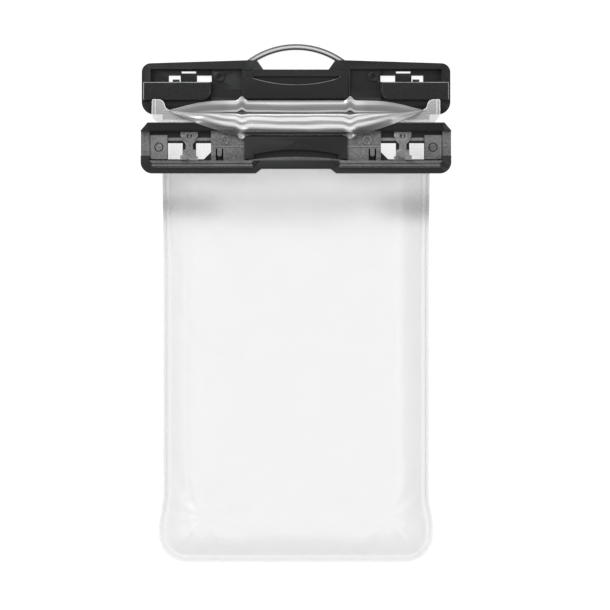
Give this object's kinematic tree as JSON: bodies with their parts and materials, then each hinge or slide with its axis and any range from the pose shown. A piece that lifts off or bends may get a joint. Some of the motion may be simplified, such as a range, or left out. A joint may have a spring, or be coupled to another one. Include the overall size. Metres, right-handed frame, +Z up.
{
  "type": "waterproof phone case",
  "caption": "Clear soft pouch for a phone, closed at its mouth by a two-part black clamp with sliding locks and a lanyard arch.",
  "frame": {"origin": "on the floor under the middle of the whole case", "axes": "+X along the clamp, +Y from the pouch's bottom towards the lanyard arch, +Z up out of the front"},
  "size_m": [0.1238, 0.2082, 0.0195],
  "materials": {
    "black_plastic": "satin",
    "grey_plastic": "mottled",
    "black_rubber": "matt",
    "clear_film": "clear, glossy"
  },
  "bodies": {
    "back_half": {"back_frame": "black_plastic", "back_film_bar": "black_plastic", "back_seal_strip": "black_rubber", "left_pressure_block": "black_plastic", "right_pressure_block": "black_plastic", "pouch_back_film": "clear_film", "pouch_front_film": "clear_film", "front_lip_film": "clear_film", "left_ear_film": "clear_film", "right_ear_film": "clear_film"},
    "front_half": {"front_frame": "black_plastic", "front_film_bar": "black_plastic", "front_seal_strip": "black_rubber"},
    "left_lock": {"left_lock_slide": "grey_plastic", "left_lock_button": "black_plastic"},
    "right_lock": {"right_lock_slide": "grey_plastic", "right_lock_button": "black_plastic"}
  },
  "joints": [
    {"name": "front_swing", "type": "hinge", "parent": "back_half", "child": "front_half", "pos_m": [0, 0.074, 0.0109], "axis": [-1, 0, 0], "range_deg": [0, 180], "deforming": ["front_lip_film", "left_ear_film", "right_ear_film"]},
    {"name": "left_lock_travel", "type": "slide", "parent": "front_half", "child": "left_lock", "axis": [-1, 0, 0], "range_m": [0, 0.0034]},
    {"name": "right_lock_travel", "type": "slide", "parent": "front_half", "child": "right_lock", "axis": [1, 0, 0], "range_m": [0, 0.0034]}
  ]
}
